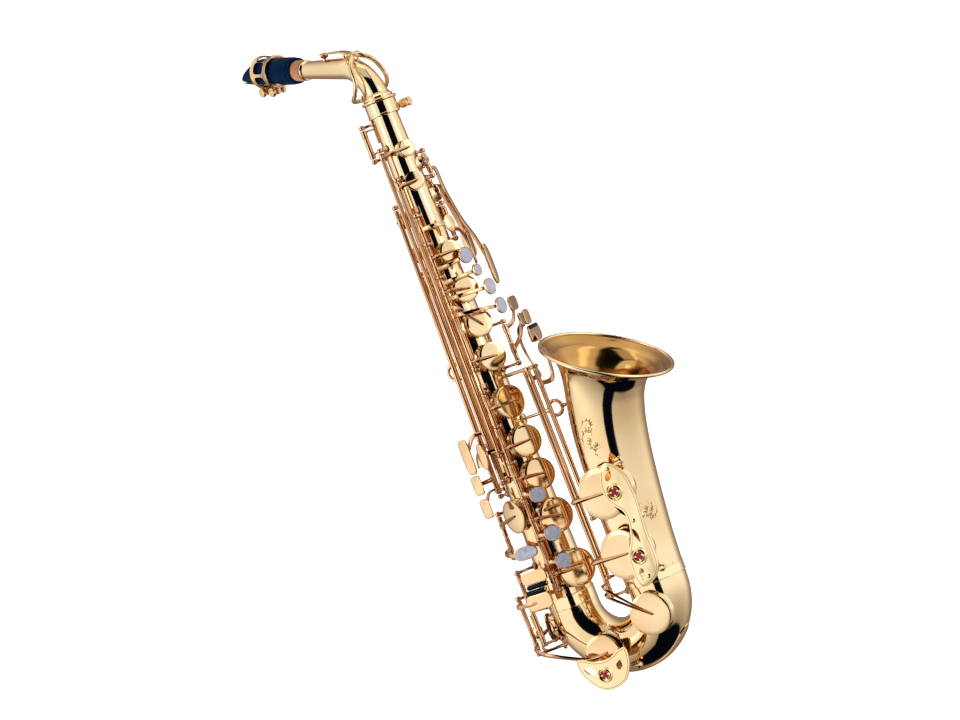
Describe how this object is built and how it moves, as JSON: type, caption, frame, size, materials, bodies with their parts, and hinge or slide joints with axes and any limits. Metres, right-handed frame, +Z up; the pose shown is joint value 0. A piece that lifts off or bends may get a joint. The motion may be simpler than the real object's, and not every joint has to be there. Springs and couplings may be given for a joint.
{
  "type": "alto saxophone",
  "caption": "Curved alto saxophone in gold-lacquered brass, with a swivelling neck, a mouthpiece and keys that hinge on rods.",
  "frame": {"origin": "centre of the neck-strap ring, which holds the saxophone up in use", "axes": "+X from the body tube towards the bell, away from the player; +Y to the player's left; +Z up along the body tube's axis"},
  "size_m": [0.3582, 0.1486, 0.6697],
  "materials": {
    "lacquered_brass": "gloss lacquer",
    "ebonite": "polished",
    "cork": "matte",
    "cane": "matte",
    "pad_leather": "matte",
    "felt": "matte",
    "pearl": "pearlescent",
    "roller": "polished",
    "steel": "polished"
  },
  "bodies": {
    "body": {"body_tube": "lacquered_brass", "bow": "lacquered_brass", "bell": "lacquered_brass", "body_ferrule": "lacquered_brass", "bell_ferrule": "lacquered_brass", "bell_brace": "lacquered_brass", "neck_receiver": "lacquered_brass", "strap_ring": "lacquered_brass", "thumb_plate": "lacquered_brass", "thumb_rest": "lacquered_brass", "bow_guard": "lacquered_brass", "bell_key_guard": "lacquered_brass", "low_c_guard": "lacquered_brass"},
    "neck": {"neck_tube": "lacquered_brass", "neck_cork": "cork"},
    "mouthpiece": {"mouthpiece": "ebonite", "reed": "cane"},
    "front_f_key": {"front_f_key": "lacquered_brass"},
    "b_key": {"b_key": "lacquered_brass"},
    "bis_key": {"bis_key": "lacquered_brass"},
    "a_key": {"a_key": "lacquered_brass"},
    "g_key": {"g_key": "lacquered_brass"},
    "fsharp_key": {"fsharp_key": "lacquered_brass"},
    "f_key": {"f_key": "lacquered_brass"},
    "e_key": {"e_key": "lacquered_brass"},
    "d_key": {"d_key": "lacquered_brass"},
    "high_e_key": {"high_e_key": "lacquered_brass"},
    "high_fsharp_key": {"high_fsharp_key": "lacquered_brass"},
    "side_c_key": {"side_c_key": "lacquered_brass"},
    "side_bb_key": {"side_bb_key": "lacquered_brass"},
    "trill_key": {"trill_key": "lacquered_brass"},
    "trill_lever": {"trill_lever": "lacquered_brass"},
    "palm_f_key": {"palm_f_key": "lacquered_brass"},
    "palm_eb_key": {"palm_eb_key": "lacquered_brass"},
    "palm_d_key": {"palm_d_key": "lacquered_brass"},
    "low_eb_key": {"low_eb_key": "lacquered_brass"},
    "low_c_key": {"low_c_key": "lacquered_brass"},
    "low_b_key": {"low_b_key": "lacquered_brass"},
    "low_bb_key": {"low_bb_key": "lacquered_brass"},
    "low_csharp_key": {"low_csharp_key": "lacquered_brass"},
    "csharp_lever": {"csharp_lever": "lacquered_brass"},
    "gsharp_lever": {"gsharp_lever": "lacquered_brass"},
    "gsharp_key": {"gsharp_key": "lacquered_brass"},
    "octave_lever": {"octave_lever": "lacquered_brass"},
    "neck_octave_key": {"neck_octave_key": "lacquered_brass"},
    "ligature": {"ligature": "lacquered_brass"},
    "ligature_screw_1": {"ligature_screw_1": "lacquered_brass"},
    "ligature_screw_2": {"ligature_screw_2": "lacquered_brass"},
    "neck_clamp_screw": {"neck_clamp_screw": "lacquered_brass"},
    "thumb_hook": {"thumb_hook": "lacquered_brass"},
    "thumb_hook_screw": {"thumb_hook_screw": "lacquered_brass"}
  },
  "joints": [
    {"name": "front_f_key_hinge", "type": "hinge", "parent": "body", "child": "front_f_key", "pos_m": [0.03428, -0.02288, 0.135], "axis": [-0.0049, 0.0211, 0.9998], "range_deg": [0, 5], "stiffness_Nm_per_rad": 0.05, "springref_deg": -17.19},
    {"name": "b_key_hinge", "type": "hinge", "parent": "body", "child": "b_key", "pos_m": [0.03443, -0.02352, 0.10475], "axis": [-0.0049, 0.0211, 0.9998], "range_deg": [0, 9], "stiffness_Nm_per_rad": 0.05, "springref_deg": -17.19},
    {"name": "bis_key_hinge", "type": "hinge", "parent": "body", "child": "bis_key", "pos_m": [0.03456, -0.02406, 0.079], "axis": [-0.0049, 0.0211, 0.9998], "range_deg": [0, 9], "stiffness_Nm_per_rad": 0.05, "springref_deg": -17.19},
    {"name": "a_key_hinge", "type": "hinge", "parent": "body", "child": "a_key", "pos_m": [0.03462, -0.02436, 0.06475], "axis": [-0.0049, 0.0211, 0.9998], "range_deg": [0, 9], "stiffness_Nm_per_rad": 0.05, "springref_deg": -17.19},
    {"name": "g_key_hinge", "type": "hinge", "parent": "body", "child": "g_key", "pos_m": [0.03481, -0.02514, 0.02775], "axis": [-0.0049, 0.0211, 0.9998], "range_deg": [0, 9], "stiffness_Nm_per_rad": 0.05, "springref_deg": -17.19},
    {"name": "fsharp_key_hinge", "type": "hinge", "parent": "body", "child": "fsharp_key", "pos_m": [0.03532, -0.02736, -0.077], "axis": [-0.0049, 0.0211, 0.9998], "range_deg": [0, 9]},
    {"name": "f_key_hinge", "type": "hinge", "parent": "body", "child": "f_key", "pos_m": [0.03549, -0.02809, -0.112], "axis": [-0.0049, 0.0211, 0.9998], "range_deg": [0, 9], "stiffness_Nm_per_rad": 0.05, "springref_deg": -17.19},
    {"name": "e_key_hinge", "type": "hinge", "parent": "body", "child": "e_key", "pos_m": [0.03567, -0.0289, -0.15], "axis": [-0.0049, 0.0211, 0.9998], "range_deg": [0, 9], "stiffness_Nm_per_rad": 0.05, "springref_deg": -17.19},
    {"name": "d_key_hinge", "type": "hinge", "parent": "body", "child": "d_key", "pos_m": [0.03589, -0.02986, -0.1955], "axis": [-0.0049, 0.0211, 0.9998], "range_deg": [0, 9], "stiffness_Nm_per_rad": 0.05, "springref_deg": -17.19},
    {"name": "high_e_key_hinge", "type": "hinge", "parent": "body", "child": "high_e_key", "pos_m": [0.02054, -0.02325, 0.0535], "axis": [0.0074, 0.0204, 0.9998], "range_deg": [-9, 0], "stiffness_Nm_per_rad": 0.05, "springref_deg": 17.19},
    {"name": "high_fsharp_key_hinge", "type": "hinge", "parent": "body", "child": "high_fsharp_key", "pos_m": [0.02813, -0.0248, 0.0505], "axis": [0.0008, 0.0217, 0.9998], "range_deg": [-9, 0], "stiffness_Nm_per_rad": 0.05, "springref_deg": 17.19},
    {"name": "side_c_key_hinge", "type": "hinge", "parent": "body", "child": "side_c_key", "pos_m": [0.00657, -0.01193, 0.023], "axis": [0.0191, 0.0102, 0.9998], "range_deg": [0, 9], "stiffness_Nm_per_rad": 0.05, "springref_deg": -17.19},
    {"name": "side_bb_key_hinge", "type": "hinge", "parent": "body", "child": "side_bb_key", "pos_m": [0.0037, -0.00678, -0.013], "axis": [0.0209, 0.0056, 0.9998], "range_deg": [0, 9], "stiffness_Nm_per_rad": 0.05, "springref_deg": -17.19},
    {"name": "trill_key_hinge", "type": "hinge", "parent": "body", "child": "trill_key", "pos_m": [-0.00635, -0.01149, -0.15065], "axis": [0.0206, 0.0067, 0.9998], "range_deg": [-8, 0]},
    {"name": "trill_lever_hinge", "type": "hinge", "parent": "body", "child": "trill_lever", "pos_m": [-0.00675, -0.01162, -0.16995], "axis": [0.0206, 0.0067, 0.9998], "range_deg": [0, 8], "stiffness_Nm_per_rad": 0.05, "springref_deg": -17.19},
    {"name": "palm_f_key_hinge", "type": "hinge", "parent": "body", "child": "palm_f_key", "pos_m": [0.04356, 0.01617, 0.19145], "axis": [-0.0145, -0.0161, 0.9998], "range_deg": [0, 9], "stiffness_Nm_per_rad": 0.05, "springref_deg": -17.19},
    {"name": "palm_eb_key_hinge", "type": "hinge", "parent": "body", "child": "palm_eb_key", "pos_m": [0.03662, 0.02092, 0.16795], "axis": [-0.0074, -0.0204, 0.9998], "range_deg": [0, 9], "stiffness_Nm_per_rad": 0.05, "springref_deg": -17.19},
    {"name": "palm_d_key_hinge", "type": "hinge", "parent": "body", "child": "palm_d_key", "pos_m": [0.0405, 0.01991, 0.13445], "axis": [-0.0108, -0.0188, 0.9998], "range_deg": [-9, 0], "stiffness_Nm_per_rad": 0.05, "springref_deg": 17.19},
    {"name": "low_eb_key_hinge", "type": "hinge", "parent": "body", "child": "low_eb_key", "pos_m": [0.00157, -0.03047, -0.22945], "axis": [0, 0, 1], "range_deg": [0, 7], "stiffness_Nm_per_rad": 0.05, "springref_deg": -17.19},
    {"name": "low_c_key_hinge", "type": "hinge", "parent": "body", "child": "low_c_key", "pos_m": [-0.01086, -0.02491, -0.24545], "axis": [0, 0, 1], "range_deg": [0, 4.5], "stiffness_Nm_per_rad": 0.05, "springref_deg": -17.19},
    {"name": "low_b_key_hinge", "type": "hinge", "parent": "body", "child": "low_b_key", "pos_m": [0.082, -0.0165, -0.12195], "axis": [0, 0, 1], "range_deg": [0, 8], "stiffness_Nm_per_rad": 0.05, "springref_deg": -17.19},
    {"name": "low_bb_key_hinge", "type": "hinge", "parent": "body", "child": "low_bb_key", "pos_m": [0.0875, -0.0125, -0.09395], "axis": [0, 0, 1], "range_deg": [0, 8], "stiffness_Nm_per_rad": 0.05, "springref_deg": -17.19},
    {"name": "low_csharp_key_hinge", "type": "hinge", "parent": "body", "child": "low_csharp_key", "pos_m": [0.0765, -0.0126, -0.13105], "axis": [0, 0, 1], "range_deg": [-8, 0]},
    {"name": "csharp_lever_hinge", "type": "hinge", "parent": "body", "child": "csharp_lever", "pos_m": [0.06347, 0.00608, -0.0008], "axis": [0, 0, 1], "range_deg": [0, 8], "stiffness_Nm_per_rad": 0.05, "springref_deg": -17.19},
    {"name": "gsharp_lever_hinge", "type": "hinge", "parent": "body", "child": "gsharp_lever", "pos_m": [0.06347, 0.00608, 0.0175], "axis": [0, 0, 1], "range_deg": [0, 8], "stiffness_Nm_per_rad": 0.05, "springref_deg": -17.19},
    {"name": "gsharp_key_hinge", "type": "hinge", "parent": "body", "child": "gsharp_key", "pos_m": [0.03515, -0.02661, -0.04195], "axis": [-0.0049, 0.0211, 0.9998], "range_deg": [-8, 0]},
    {"name": "octave_lever_hinge", "type": "hinge", "parent": "body", "child": "octave_lever", "pos_m": [0.0108, 0.01274, 0.17], "axis": [0.0177, -0.0124, 0.9998], "range_deg": [-14, 0], "stiffness_Nm_per_rad": 0.05, "springref_deg": 17.19},
    {"name": "neck_swivel", "type": "hinge", "parent": "body", "child": "neck", "pos_m": [0.029, 0, 0.26], "axis": [0, 0, 1], "range_deg": [-25, 25]},
    {"name": "neck_octave_key_hinge", "type": "hinge", "parent": "neck", "child": "neck_octave_key", "pos_m": [0.01507, 0.0062, 0.31115], "axis": [-0.4067, -0.9135, 0], "range_deg": [-7, 0]},
    {"name": "mouthpiece_slide", "type": "slide", "parent": "neck", "child": "mouthpiece", "axis": [-0.8864, 0.3947, 0.2419], "range_m": [-0.004, 0.012]},
    {"name": "ligature_slide", "type": "slide", "parent": "mouthpiece", "child": "ligature", "axis": [-0.8864, 0.3947, 0.2419], "range_m": [-0.003, 0.003]},
    {"name": "ligature_screw_1_turn", "type": "hinge", "parent": "ligature", "child": "ligature_screw_1", "pos_m": [-0.10395, 0.05919, 0.31148], "axis": [-0.4067, -0.9135, 0], "range_deg": [-360, 0]},
    {"name": "ligature_screw_2_turn", "type": "hinge", "parent": "ligature", "child": "ligature_screw_2", "pos_m": [-0.11813, 0.06551, 0.31535], "axis": [-0.4067, -0.9135, 0], "range_deg": [-360, 0]},
    {"name": "neck_clamp_screw_turn", "type": "hinge", "parent": "body", "child": "neck_clamp_screw", "pos_m": [0.03061, 0.01843, 0.2515], "axis": [0.9962, -0.0872, 0], "range_deg": [-360, 0]},
    {"name": "thumb_hook_slide", "type": "slide", "parent": "body", "child": "thumb_hook", "axis": [0, 0, 1], "range_m": [-0.003, 0.003]},
    {"name": "thumb_hook_screw_turn", "type": "hinge", "parent": "thumb_hook", "child": "thumb_hook_screw", "pos_m": [0.00483, 0.00603, -0.09], "axis": [-0.9703, 0.2419, 0], "range_deg": [-360, 0]}
  ],
  "couplings": [
    {"joint": "gsharp_key_hinge", "follows": "gsharp_lever_hinge", "ratio": -1},
    {"joint": "low_csharp_key_hinge", "follows": "csharp_lever_hinge", "ratio": -1},
    {"joint": "trill_key_hinge", "follows": "trill_lever_hinge", "ratio": -1},
    {"joint": "fsharp_key_hinge", "follows": "f_key_hinge", "ratio": 1},
    {"joint": "neck_octave_key_hinge", "follows": "octave_lever_hinge", "ratio": 0.5}
  ]
}
